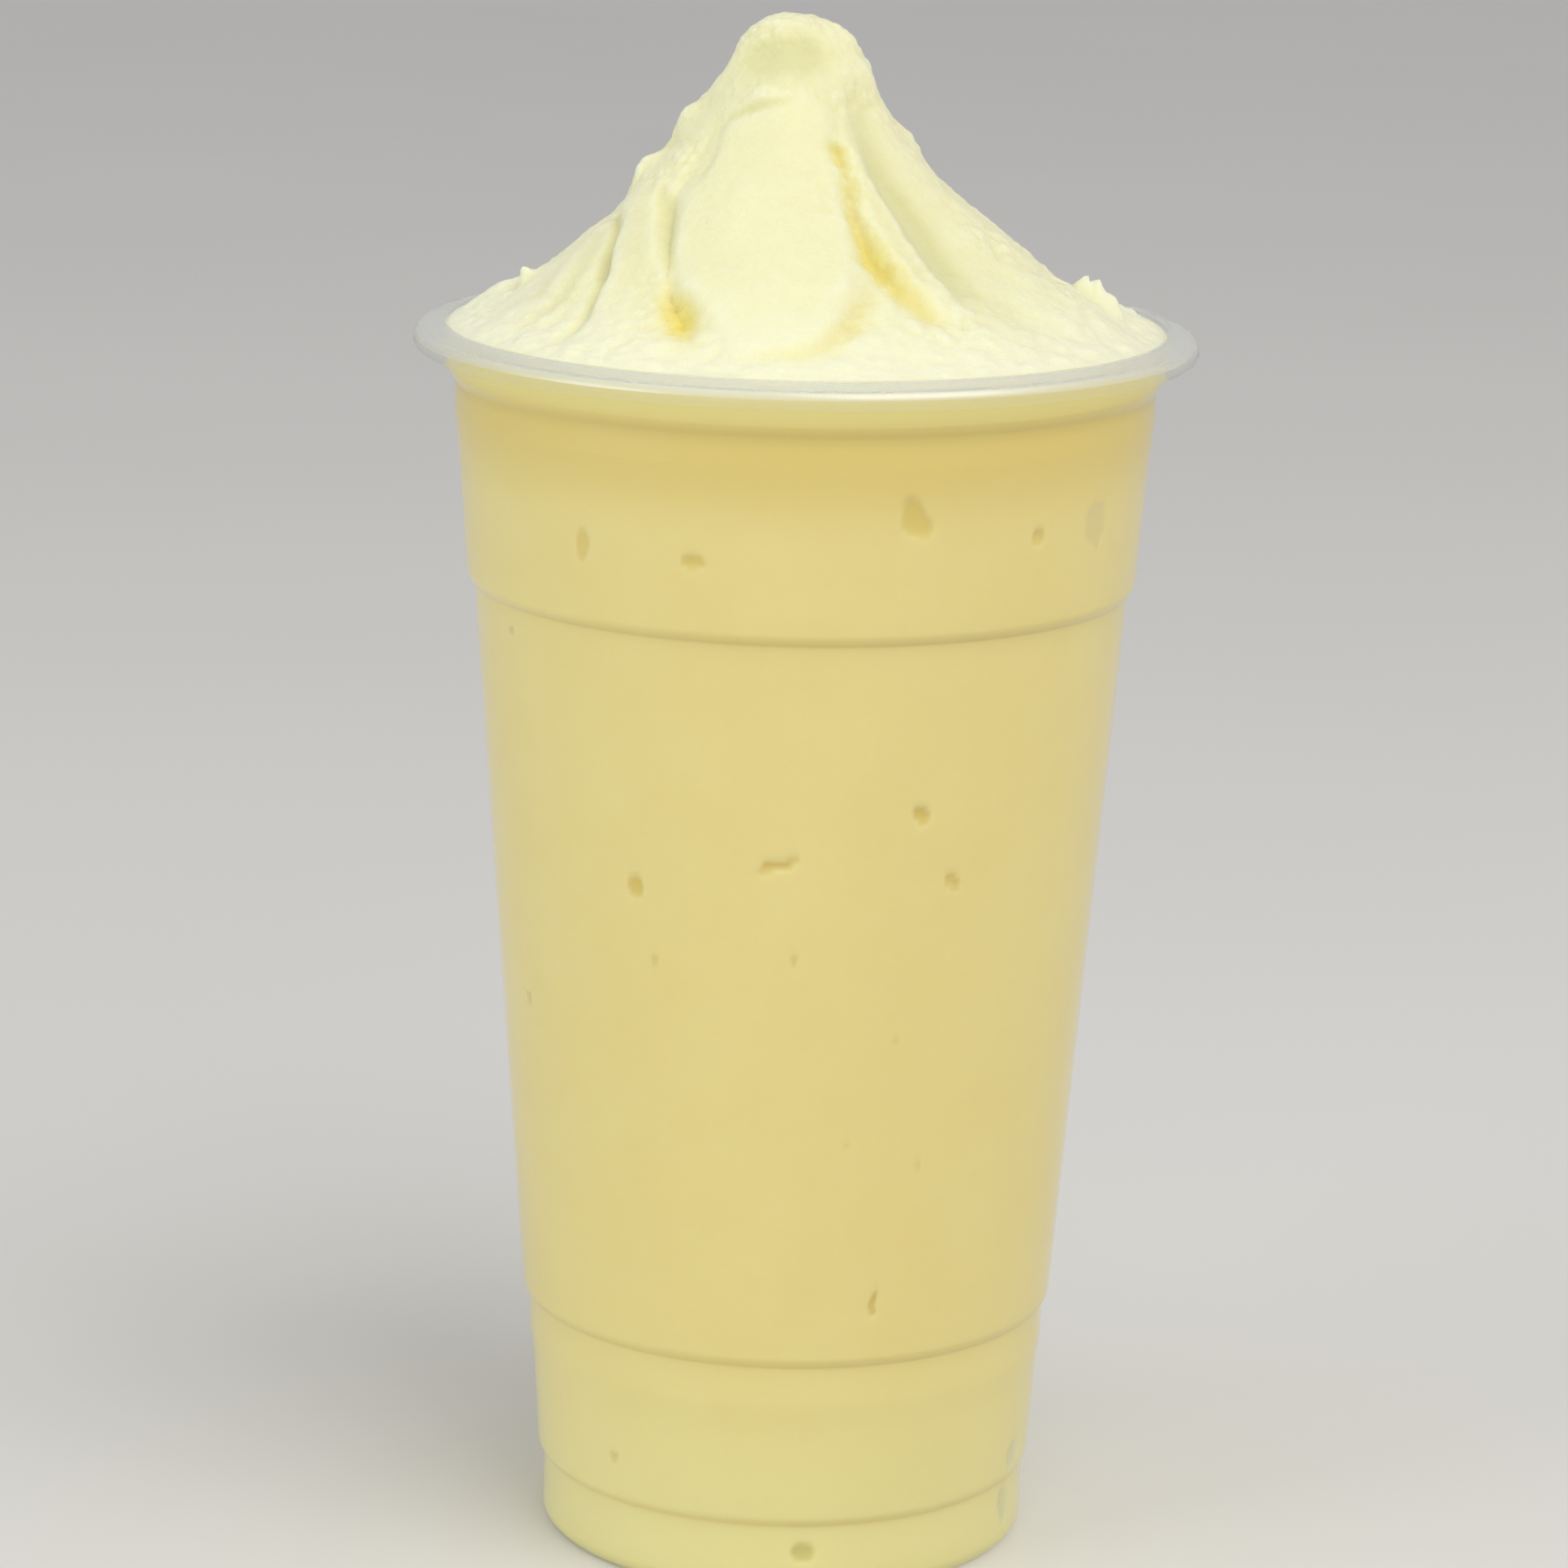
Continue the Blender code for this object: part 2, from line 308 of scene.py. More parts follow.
# Outline of the heap: a hollow flank up to the shoulder, then a round knob. Radius and height of
# the points that pull each curve. The heap leans a little to the left as it rises.
HEAP_TOP = 195.3
SHOULDER = (10.1, 186.5)
FLANK_PULLS = ((32.8, 161.6), (15.6, 174.8))
KNOB_PULLS = ((7.6, 191.8), (6.0, HEAP_TOP))
FLANK_RINGS = 57
KNOB_RINGS = 18
LEAN = -2.0
LEAN_RISE = 20.0
RIM_FADE = 2.0
APRON_STARTS = 27.0

# Noise that moves what is laid along a path, and noise that raises the skin. Each is given in
# pairs: the size of its humps and how far they reach.
WANDER = ((8.0, 0.8), (2.6, 0.2))
WANDER_SEED = 67
UNEVEN = ((11.0, 0.4), (5.0, 0.2))
CLUMPS = ((5.5, 0.5), (2.8, 0.35))
CLUMP_CONTRAST = 2.2
GRAINS = ((2.4, 0.34), (1.2, 0.34))
GRAIN_CONTRAST = 1.4

# How rough the heap is from place to place, and how much of that roughness goes into its clumps
ROUGH_SIZE = 7.0
ROUGH_LEAST = 0.3
ROUGH_SHIFT = 0.4
HEAP_CLUMPED = 0.6
APRON_CLUMPED = 0.75
TONGUE_FULL = 0.8
TONGUE_CALM = 0.8

# Form of a fold's top and of the sides of grooves and bumps, and the depths and heights at which
# the skin has its full colour
FOLD_CROWN = 0.3
SIDES_FALL = 1.4
DEEP_GROOVE = 1.55
DEEP_CREASE = 1.1
EVENED_TIMES = 40
RAISED_SPAN = 0.7

# Dents that the air pockets leave in the drink, and how strongly painted shade colours them
WALL_STARTS = FOOT_RADIUS - 1.5
POCKET_ROOM = (1.2, 2.0)
POCKET_CUTS = 3
POCKET_NEAR = 3.0
POCKET_RAGGED = 0.3
POCKET_LOBES = 2.0
POCKET_EDGE = (1.25, 0.6)
POCKET_SHADE = 0.7
POCKET_DEEP = 0.4

# Colours of the drink behind the wall, some of them painted light and shade
DRINK_DEEP = (0.885, 0.73, 0.275, 1.0)
DRINK_PALE = (0.92, 0.785, 0.335, 1.0)
# Painted bounce light from the floor: paler towards the foot
FOOT_BOUNCE_DRINK = (0.89, 0.81, 0.37, 1.0)
# Painted shade of the lip over the neck
NECK_SHADE_DRINK = (0.835, 0.665, 0.205, 1.0)
LIP_DRINK = (0.885, 0.765, 0.285, 1.0)
# Painted shade along the wall's steps
RING_SHADE_DRINK = (0.74, 0.59, 0.17, 1.0)
# Painted shade inside the air pockets
POCKET_SHADE_DRINK = (0.85, 0.64, 0.10, 1.0)
POCKET_SHADE_FOOT = (0.66, 0.60, 0.12, 1.0)

# Colours of the heap: low between the clumps, where they also paint shade, frosty on them, and in its
# special places
# The low colours also paint the shade between the clumps
LOW_DEEP = (0.86, 0.80, 0.40, 1.0)
LOW_PALE = (0.89, 0.85, 0.48, 1.0)
FROST_DEEP = (0.91, 0.89, 0.58, 1.0)
FROST_PALE = (0.95, 0.94, 0.70, 1.0)
# Painted sky light on the upward-facing apron
APRON_LIT_CREAM = (0.975, 0.96, 0.68, 1.0)
# Painted shade in creases and valleys
CREASE_SHADE_CREAM = (0.78, 0.75, 0.41, 1.0)
# Painted shade and the glow of light scattered in the grooves
GROOVE_SHADE_CREAM = (0.88, 0.75, 0.19, 1.0)

# Heights between which the colour changes: at the foot (painted bounce light), in the neck (painted
# shade of the lip), under the lip (paler again) and at the heap
FOOT_LEVELS = (36.0, 4.0)
NECK_LEVELS = (136.0, 147.0)
LIP_LEVELS = (150.2, 152.8)
HEAP_LEVELS = (153.8, 156.3)

# Folds that stand proud of the heap. Each has the width of the step along its edges, then a path
# of x, y, z, half width and height.
FOLDS = {
    "front tongue": (3.6, (
        (-4.6, -13.4, 181.2, 7.8, 0.9),
        (-4.8, -15.8, 178.2, 8.9, 1.0),
        (-5.4, -18.0, 175.4, 10.3, 1.3),
        (-5.8, -20.5, 172.8, 11.3, 1.6),
        (-5.5, -23.0, 170.2, 11.6, 1.7),
        (-4.8, -27.0, 166.8, 11.3, 1.8),
        (-3.9, -31.0, 164.0, 9.9, 1.7),
        (-3.4, -33.5, 162.5, 8.1, 1.2),
    )),
    "left fold": (2.0, (
        (-15.0, -6.0, 180.2, 3.2, 0.2),
        (-18.0, -8.4, 175.8, 4.3, 0.8),
        (-20.0, -10.8, 172.4, 4.1, 1.35),
        (-20.1, -16.8, 169.0, 4.1, 1.75),
        (-20.4, -21.4, 166.0, 4.1, 1.75),
        (-21.8, -26.6, 162.3, 5.2, 1.1),
        (-22.4, -32.0, 159.6, 7.4, 0.3),
    )),
    "far left fold": (3.4, (
        (-26.2, -8.0, 167.8, 3.2, 0.3),
        (-29.5, -14.0, 164.2, 4.4, 0.9),
        (-34.2, -17.0, 160.8, 5.2, 0.5),
    )),
    "right ridge": (2.6, (
        (4.4, -9.4, 184.8, 1.7, 0.2),
        (5.6, -12.6, 180.4, 1.8, 0.7),
        (6.4, -14.2, 178.0, 1.8, 0.9),
        (7.9, -16.2, 174.9, 2.0, 1.0),
        (10.0, -20.3, 170.6, 2.4, 1.05),
        (12.8, -23.8, 167.0, 2.8, 1.0),
        (15.8, -26.6, 164.3, 3.0, 0.6),
        (18.6, -29.2, 162.2, 2.8, 0.1),
    )),
    "right flank": (5.0, (
        (15.4, -4.0, 178.4, 4.4, 0.2),
        (21.5, -9.0, 168.8, 6.0, 0.7),
        (30.0, -13.0, 162.6, 8.0, 0.5),
    )),
    "back fold": (3.0, (
        (3.0, 9.0, 185.0, 6.0, 0.5),
        (7.2, 16.5, 173.5, 8.4, 2.2),
        (6.5, 26.0, 165.0, 9.6, 2.6),
        (2.0, 33.5, 160.4, 8.4, 1.6),
    )),
    "back left fold": (2.4, (
        (-10.0, 7.5, 182.5, 4.6, 0.5),
        (-15.8, 13.8, 172.5, 6.0, 1.4),
        (-22.6, 19.4, 165.0, 7.2, 1.7),
        (-27.0, 25.5, 160.0, 6.6, 0.5),
    )),
    "back right fold": (3.0, (
        (8.0, 8.0, 182.0, 4.2, 0.4),
        (15.0, 15.5, 171.0, 5.6, 1.3),
        (24.0, 21.5, 162.8, 6.6, 0.5),
    )),
}

# Grooves between the folds, yellow with painted shade and the glow of light scattered in them. Each
# runs along a path of x, y, z, half width and depth.
GROOVES = {
    "right groove": (
        (3.3, -12.6, 181.8, 1.2, 0.1),
        (3.7, -13.4, 180.8, 1.6, 1.1),
        (4.2, -14.4, 179.2, 1.5, 0.8),
        (4.6, -14.9, 178.5, 1.3, 0.55),
        (5.2, -17.1, 175.4, 1.4, 0.6),
        (5.5, -19.3, 172.7, 1.6, 0.65),
        (6.4, -21.2, 171.0, 1.9, 1.0),
        (8.0, -23.9, 168.7, 2.4, 1.5),
        (9.7, -25.7, 166.8, 2.3, 1.2),
        (11.2, -27.1, 165.4, 2.2, 1.0),
        (13.6, -29.4, 163.3, 2.0, 0.7),
        (16.1, -30.8, 162.1, 1.8, 0.2),
    ),
    "left pocket": (
        (-17.1, -27.0, 164.1, 1.4, 0.4),
        (-16.1, -29.8, 162.8, 2.4, 1.5),
        (-15.0, -32.4, 161.7, 2.5, 1.65),
        (-13.8, -35.4, 160.4, 1.8, 0.3),
    ),
    "under the tongue": (
        (7.4, -30.4, 164.0, 1.8, 0.25),
        (5.6, -35.0, 161.8, 2.0, 0.6),
        (2.6, -38.2, 160.3, 1.9, 0.55),
        (-1.2, -40.2, 159.3, 1.7, 0.5),
        (-5.6, -40.6, 159.0, 1.5, 0.2),
    ),
}

# Creases and broad valleys of the same kind. Their colour is painted shade: a little darker, not yellow.
CREASES = {
    "knob hollow": (
        (-6.4, -6.6, 191.2, 4.2, 1.6),
        (-1.4, -7.4, 191.6, 4.3, 1.7),
    ),
    "tongue wrinkle": (
        (-13.4, -14.5, 175.8, 1.2, 0.1),
        (-12.8, -13.1, 177.9, 1.1, 0.4),
        (-12.1, -11.8, 179.8, 0.9, 0.65),
        (-11.8, -10.3, 181.6, 0.85, 0.7),
        (-11.6, -9.1, 182.9, 0.85, 0.75),
        (-10.3, -9.3, 184.0, 0.9, 0.8),
        (-8.4, -9.9, 184.9, 0.9, 0.7),
        (-5.4, -10.7, 185.5, 1.0, 0.45),
        (-2.4, -10.9, 186.2, 1.0, 0.2),
    ),
    "left crease": (
        (-17.2, -11.6, 174.5, 1.0, 0.5),
        (-16.8, -14.3, 172.6, 1.5, 1.0),
        (-16.7, -17.0, 170.9, 1.7, 1.0),
        (-16.7, -19.5, 169.3, 1.7, 0.9),
        (-16.9, -21.6, 167.6, 1.5, 0.6),
        (-17.4, -23.4, 166.4, 1.0, 0.1),
    ),
    "left fold crease": (
        (-23.1, -7.0, 171.2, 1.2, 0.4),
        (-23.8, -12.0, 169.0, 1.6, 0.7),
        (-24.2, -14.9, 167.4, 1.7, 0.8),
        (-24.4, -17.7, 165.8, 1.6, 0.9),
        (-24.8, -20.1, 164.4, 1.5, 0.9),
        (-25.8, -21.5, 163.2, 1.4, 0.7),
        (-26.8, -24.7, 161.4, 1.4, 0.7),
        (-28.3, -26.8, 160.0, 1.5, 0.6),
        (-31.0, -27.6, 158.8, 1.6, 0.2),
    ),
    "beside the left pocket": (
        (-18.4, -22.4, 166.2, 2.0, 0.15),
        (-18.0, -27.0, 163.6, 3.2, 0.35),
        (-17.0, -31.4, 161.9, 3.8, 0.4),
        (-15.6, -35.6, 160.2, 3.2, 0.2),
    ),
    "along the right ridge": (
        (4.9, -11.0, 182.8, 1.4, 0.1),
        (5.9, -13.2, 179.8, 1.7, 0.35),
        (6.6, -14.6, 177.6, 1.8, 0.4),
        (8.3, -16.9, 174.4, 1.9, 0.4),
        (10.6, -21.0, 170.0, 2.2, 0.4),
        (13.2, -24.4, 166.6, 2.4, 0.35),
        (16.0, -27.0, 164.0, 2.4, 0.1),
    ),
    "along the left fold": (
        (-18.6, -11.0, 173.2, 3.2, 0.15),
        (-19.7, -16.8, 169.4, 3.4, 0.3),
        (-20.0, -21.4, 166.4, 3.4, 0.3),
        (-21.2, -26.0, 163.2, 3.4, 0.1),
    ),
    "far left band": (
        (-25.5, -9.0, 168.7, 2.0, 0.2),
        (-27.3, -13.8, 165.3, 2.4, 0.5),
        (-30.0, -17.6, 162.3, 2.2, 0.6),
        (-33.8, -20.0, 159.9, 2.0, 0.4),
    ),
    "far left crease": (
        (-29.4, -9.5, 165.0, 1.5, 0.2),
        (-33.2, -13.0, 161.9, 1.6, 0.45),
        (-37.2, -12.6, 159.9, 1.6, 0.2),
    ),
    "right valley": (
        (4.6, -6.0, 189.2, 2.0, 0.1),
        (5.6, -7.0, 187.0, 2.6, 0.35),
        (6.6, -8.4, 184.8, 3.0, 0.7),
        (7.6, -10.4, 181.6, 3.1, 1.1),
        (9.3, -12.6, 178.0, 3.0, 1.5),
        (11.1, -14.2, 174.8, 3.2, 1.6),
        (13.2, -16.4, 171.6, 3.4, 1.5),
        (15.6, -19.8, 168.3, 3.6, 1.25),
        (18.4, -21.8, 165.8, 3.8, 0.9),
        (21.6, -23.4, 163.6, 4.0, 0.5),
        (25.4, -25.0, 161.6, 4.0, 0.2),
    ),
    "back groove": (
        (-3.0, 10.0, 185.0, 2.0, 0.6),
        (-6.5, 18.5, 174.0, 2.8, 1.4),
        (-12.0, 27.0, 165.4, 3.2, 1.5),
        (-14.5, 33.0, 160.8, 3.0, 0.7),
    ),
}

# Single bumps, and with a minus sign hollows: x, y, z, radius and height
BUMPS = (
    (-12.6, -2.4, 186.6, 1.8, 0.5),
    (-14.8, -0.2, 182.8, 3.2, 1.9),
    (-17.0, 0.2, 180.4, 2.4, 0.5),
    (-20.4, -1.8, 176.4, 3.2, 2.0),
    (-11.2, 1.0, 189.4, 2.4, -2.0),
    (-26.6, 7.4, 167.8, 6.0, -1.6),
    (-38.6, 2.0, 160.0, 4.0, 1.3),
    (-34.8, -3.6, 162.6, 1.6, 1.8),
    (-35.6, 11.0, 161.2, 4.0, -1.8),
    (-28.6, 9.6, 166.0, 3.6, -0.9),
    (29.8, 8.5, 165.0, 4.5, -2.0),
    (32.4, 9.6, 163.4, 3.4, -3.2),
    (31.8, 4.0, 164.0, 3.2, -2.3),
    (30.6, 14.5, 162.6, 4.0, -2.0),
    (37.4, 9.0, 160.2, 3.6, -1.6),
    (31.3, -3.4, 163.6, 2.0, -2.8),
    (33.3, -4.4, 162.6, 1.1, 2.4),
    (34.0, -4.5, 162.2, 0.6, -0.9),
    (34.8, -4.6, 161.9, 1.3, 2.2),
    (37.2, -4.8, 160.4, 2.2, 1.1),
    (35.6, -5.0, 161.2, 3.4, 0.9),
    (4.9, -2.0, 192.7, 2.0, 0.8),
    (6.8, -3.4, 188.8, 2.6, 0.4),
    (13.8, 1.5, 181.2, 2.8, 2.0),
    (19.4, -2.0, 174.8, 3.4, -0.9),
    (-16.8, -25.0, 165.4, 1.4, 0.7),
    (2.0, 6.5, 191.0, 4.0, -0.9),
)

# Smooth places: the front of the knob, the left outline and fold, the far left and the right
# flank. Each has x, y, z, radius and how smooth it is at most.
CALM_PLACES = (
    (-3.0, -8.0, 190.5, 6.5, 0.9),
    (-13.0, -8.0, 182.0, 5.0, 0.8),
    (-18.0, -4.0, 178.5, 5.0, 0.7),
    (-19.5, -14.0, 171.5, 7.0, 0.9),
    (-21.5, -22.0, 165.0, 6.0, 0.7),
    (-29.0, -14.0, 164.5, 8.0, 0.9),
    (-35.0, -13.0, 160.8, 8.0, 0.8),
    (8.0, -10.0, 181.0, 7.0, 0.9),
    (11.0, -18.0, 172.0, 6.0, 0.8),
    (18.0, -17.0, 169.0, 9.0, 0.7),
)

# Painted shade: dark lines in the drink where the wall steps. Height, half width and strength
RING_SHADE_LINES = ((9.7, 0.9, 0.42), (31.4, 0.9, 0.5), (124.7, 0.9, 0.6), (149.9, 1.6, 0.6))

# Air pockets at the wall: degrees round from the front towards the right, height, half width,
# half height, degrees that the pocket leans to the right, and depth
AIR_POCKETS = (
    (18.2, 140.2, 1.5, 2.3, -24.0, 0.4),
    (18.8, 139.3, 1.9, 1.5, 0.0, 0.4),
    (-17.6, 134.3, 1.6, 0.9, 0.0, 0.4),
    (-38.4, 134.8, 0.95, 1.9, 6.0, 0.35),
    (41.7, 136.7, 1.0, 1.05, 0.0, 0.4),
    (56.4, 136.8, 2.1, 3.2, -8.0, 0.24),
    (-60.3, 121.2, 0.6, 0.6, 0.0, 0.4),
    (22.8, 103.0, 1.3, 0.9, 40.0, 0.5),
    (29.8, 94.1, 1.3, 0.8, 40.0, 0.4),
    (-3.1, 96.9, 2.8, 0.6, -12.0, 0.5),
    (-30.1, 92.4, 1.0, 1.5, 0.0, 0.5),
    (-26.5, 83.3, 0.5, 0.5, 0.0, 0.22),
    (0.2, 84.8, 0.5, 0.5, 0.0, 0.22),
    (-62.7, 73.7, 0.8, 0.7, 0.0, 0.4),
    (-41.8, 15.7, 0.8, 0.8, 0.0, 0.25),
    (18.5, 40.2, 0.4, 0.8, 28.0, 0.4),
    (18.2, 38.9, 0.4, 0.9, -22.0, 0.4),
    (5.1, 5.9, 1.5, 1.2, 0.0, 0.4),
    (67.6, 12.9, 1.6, 1.9, 6.0, 0.3),
    (66.8, 6.0, 1.5, 2.4, -5.0, 0.3),
    (20.2, 74.3, 0.5, 0.5, 0.0, 0.15),
    (11.4, 60.9, 0.5, 0.5, 0.0, 0.15),
    (26.6, 57.4, 0.5, 0.5, 0.0, 0.15),
    (118.0, 128.0, 2.0, 1.4, 15.0, 0.6),
    (141.0, 88.0, 1.0, 2.2, -10.0, 0.5),
    (176.0, 138.5, 2.2, 0.8, 5.0, 0.5),
    (-152.0, 108.0, 1.4, 1.0, 30.0, 0.5),
    (-113.0, 69.0, 0.9, 1.5, 0.0, 0.5),
    (-97.0, 131.0, 1.4, 0.9, -25.0, 0.5),
    (160.0, 31.0, 1.2, 0.8, 0.0, 0.5),
)


def smooth_step(value):
    """Goes from 0 to 1 with soft ends as the value does, and stays there beyond."""
    value = np.clip(value, 0.0, 1.0)
    return value * value * (3.0 - 2.0 * value)


def nearest_on_path(points, path):
    """Each point's distance to the path, with the path's width and height where it is nearest."""
    distance = np.full(len(points), np.inf)
    width = np.zeros(len(points))
    height = np.zeros(len(points))
    for first, second in zip(np.array(path), np.array(path[1:])):
        along = second[:3] - first[:3]
        share = np.clip((points - first[:3]) @ along / (along @ along), 0.0, 1.0)
        away = np.linalg.norm(points - first[:3] - share[:, None] * along, axis=1)
        nearer = away < distance
        distance = np.where(nearer, away, distance)
        width = np.where(nearer, first[3] + (second[3] - first[3]) * share, width)
        height = np.where(nearer, first[4] + (second[4] - first[4]) * share, height)
    return distance, width, height


def fold_height(points, edge, path):
    """A fold is nearly flat across its top and ends in a rounded step."""
    distance, half_width, height = nearest_on_path(points, path)
    dome = 1.0 - FOLD_CROWN * np.minimum(distance / half_width, 1.0) ** 2
    return height * dome * smooth_step((half_width - distance) / edge + 0.5)


def groove_depth(points, path):
    """A groove is round at the bottom and open at its edges."""
    distance, half_width, depth = nearest_on_path(points, path)
    return depth * np.exp(-((distance / half_width) ** 2) * SIDES_FALL)


def bump_height(points, bump):
    """A bump or hollow is a soft round mound."""
    distance = np.linalg.norm(points - np.array(bump[:3]), axis=1)
    return bump[4] * np.exp(-((distance / bump[3]) ** 2) * SIDES_FALL)


def wandering(points):
    """The points moved a little by noise, so that nothing laid along a path is drawn too cleanly."""
    noise.seed_set(WANDER_SEED)
    moved = points.copy()
    for size, far in WANDER:
        moved += far * np.array([noise.noise_vector(Vector(point) / size) for point in points])
    return moved


def unevenness(points, size):
    """Smooth noise from about -1 to 1 whose humps are about this size."""
    return np.array([noise.noise(Vector(point) / size) for point in points])


def clumps(points, size):
    """Round clumps of about this size with creases between them, from -0.5 in a crease to 0.5."""
    return np.minimum(np.abs(unevenness(points, size)) * CLUMP_CONTRAST, 1.0) - 0.5


def crumbly(points, size):
    """Rounded grains of about this size packed side by side, from 0 between them to 1."""
    nearest = np.array([noise.voronoi(Vector(point) / size)[0][0] for point in points])
    return 1.0 - np.clip(nearest * GRAIN_CONTRAST, 0.0, 1.0) ** 2


def vertex_arrays(mesh):
    """The bmesh's vertex places in mm and its normals, as arrays."""
    mesh.normal_update()
    places = np.array([vert.co for vert in mesh.verts]) / MM
    normals = np.array([vert.normal for vert in mesh.verts])
    return places, normals


def move_vertices(mesh, places):
    """Moves the bmesh's vertices to these places in mm."""
    for vert, place in zip(mesh.verts, places * MM):
        vert.co = place


def evened(mesh, places, times):
    """The places after each has gone half way to the middle of its neighbours this many times."""
    mesh.verts.index_update()
    ends = np.array([[vert.index for vert in edge.verts] for edge in mesh.edges])
    one = np.concatenate([ends[:, 0], ends[:, 1]])
    other = np.concatenate([ends[:, 1], ends[:, 0]])
    count = np.bincount(one, minlength=len(places))
    for _ in range(times):
        middle = [np.bincount(one, places[other, axis], len(places)) / count for axis in range(3)]
        places = (places + np.stack(middle, axis=1)) / 2
    return places


def heap_outline(rim):
    """From the rim up a hollow flank to the shoulder, then over a round knob to the top."""
    shoulder = Vector((*SHOULDER, 0.0))
    top = Vector((0.0, HEAP_TOP, 0.0))
    pulls = [Vector((*pull, 0.0)) for pull in FLANK_PULLS + KNOB_PULLS]
    start = Vector((rim.x, rim.y, 0.0))
    flank = geometry.interpolate_bezier(start, pulls[0], pulls[1], shoulder, FLANK_RINGS + 1)
    knob = geometry.interpolate_bezier(shoulder, pulls[2], pulls[3], top, KNOB_RINGS + 1)
    return [point.to_2d() for point in flank[1:] + knob[1:]]


def pocket_reach(places, pocket):
    """How far the places at the wall are from an air pocket's middle, with 1 at its edge."""
    turned_to, height, half_width, half_height, lean, _ = pocket
    around = np.arctan2(places[:, 0], -places[:, 1]) - math.radians(turned_to)
    around = (around + math.pi) % math.tau - math.pi
    across = around * np.hypot(places[:, 0], places[:, 1])
    up = places[:, 2] - height
    cosine, sine = math.cos(math.radians(lean)), math.sin(math.radians(lean))
    reach = np.hypot(
        (across * cosine - up * sine) / half_width, (across * sine + up * cosine) / half_height
    )
    near = reach < POCKET_NEAR
    reach[near] *= 1.0 + POCKET_RAGGED * unevenness(places[near], POCKET_LOBES)
    return reach


def divide_at_pockets(mesh):
    """Gives the drink's skin finer faces where an air pocket will dent it."""
    mesh.faces.ensure_lookup_table()
    middles = np.array([face.calc_center_median() for face in mesh.faces]) / MM
    near = np.zeros(len(middles), bool)
    for turned_to, height, half_width, half_height, _, _ in AIR_POCKETS:
        wide = half_width + POCKET_ROOM[0]
        tall = half_height + POCKET_ROOM[1]
        near |= pocket_reach(middles, (turned_to, height, wide, tall, 0.0, 0.0)) < 1.0
    near &= np.hypot(middles[:, 0], middles[:, 1]) > WALL_STARTS
    edges = {edge for index in np.flatnonzero(near) for edge in mesh.faces[index].edges}
    edges = sorted(edges, key=lambda edge: edge.index)
    bmesh.ops.subdivide_edges(mesh, edges=edges, cuts=POCKET_CUTS, use_grid_fill=True)


def pocket_dents(places):
    """How deep the air pockets dent the drink at each place of the wall, in mm."""
    dent = np.zeros(len(places))
    for pocket in AIR_POCKETS:
        share = smooth_step((POCKET_EDGE[0] - pocket_reach(places, pocket)) / POCKET_EDGE[1])
        dent = np.maximum(dent, share * pocket[-1])
    return dent


